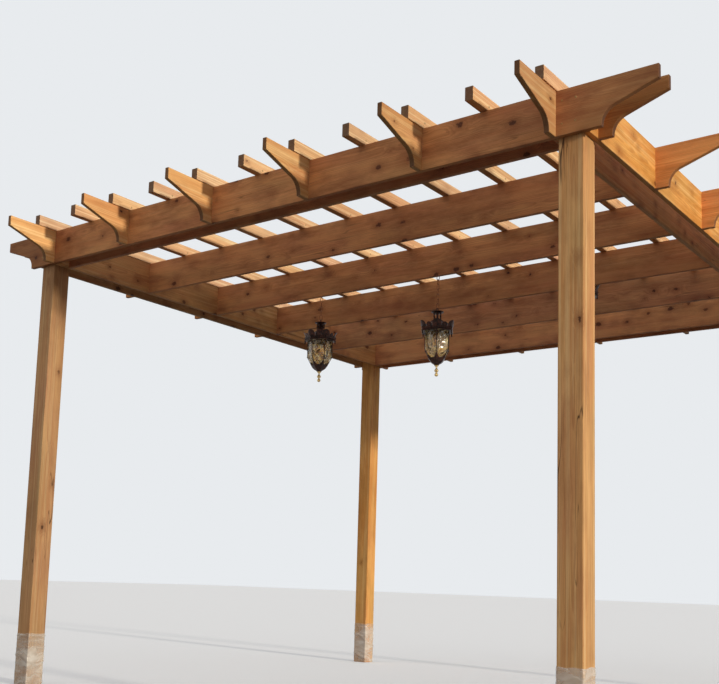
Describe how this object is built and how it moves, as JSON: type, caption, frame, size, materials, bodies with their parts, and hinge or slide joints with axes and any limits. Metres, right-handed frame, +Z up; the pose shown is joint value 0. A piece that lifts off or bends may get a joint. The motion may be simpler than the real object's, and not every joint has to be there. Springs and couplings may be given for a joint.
{
  "type": "wooden pergola",
  "caption": "Square open-frame garden pergola: corner posts, paired beams, cove-cut rafter tails, a flat slatted top and hanging six-sided lanterns.",
  "frame": {"origin": "on the ground at the middle of the plan, level with the feet of the posts", "axes": "+X runs along the front from the left post to the right one, +Y runs from the front to the back, +Z is up"},
  "size_m": [4.072, 4.076, 2.705],
  "materials": {
    "post_wood": "satin oiled pine",
    "beam_wood": "satin oiled pine",
    "slat_wood": "satin oiled pine",
    "packing_film": "clear stretch film, crinkled",
    "lantern_metal": "satin",
    "chain_metal": "satin",
    "lantern_glass": "clear and wavy, faintly amber"
  },
  "bodies": {
    "root": {"back_beam_inner": "beam_wood", "back_beam_outer": "beam_wood", "back_tails": "beam_wood", "film_wrap_back_left": "packing_film", "film_wrap_back_right": "packing_film", "film_wrap_front_left": "packing_film", "film_wrap_front_right": "packing_film", "front_beam_inner": "beam_wood", "front_beam_outer": "beam_wood", "front_tails": "beam_wood", "joist_1": "beam_wood", "joist_2": "beam_wood", "joist_3": "beam_wood", "joist_4": "beam_wood", "lantern_chain_left": "chain_metal", "lantern_chain_middle": "chain_metal", "lantern_chain_right": "chain_metal", "lantern_frame_left": "lantern_metal", "lantern_frame_middle": "lantern_metal", "lantern_frame_right": "lantern_metal", "lantern_glass_left": "lantern_glass", "lantern_glass_middle": "lantern_glass", "lantern_glass_right": "lantern_glass", "left_beam_inner": "beam_wood", "left_beam_outer": "beam_wood", "left_tails": "beam_wood", "post_back_left": "post_wood", "post_back_right": "post_wood", "post_front_left": "post_wood", "post_front_right": "post_wood", "right_beam_inner": "beam_wood", "right_beam_outer": "beam_wood", "right_tails": "beam_wood", "slat_01": "slat_wood", "slat_02": "slat_wood", "slat_03": "slat_wood", "slat_04": "slat_wood", "slat_05": "slat_wood", "slat_06": "slat_wood", "slat_07": "slat_wood", "slat_08": "slat_wood", "slat_09": "slat_wood", "slat_10": "slat_wood", "slat_11": "slat_wood"}
  },
  "joints": []
}
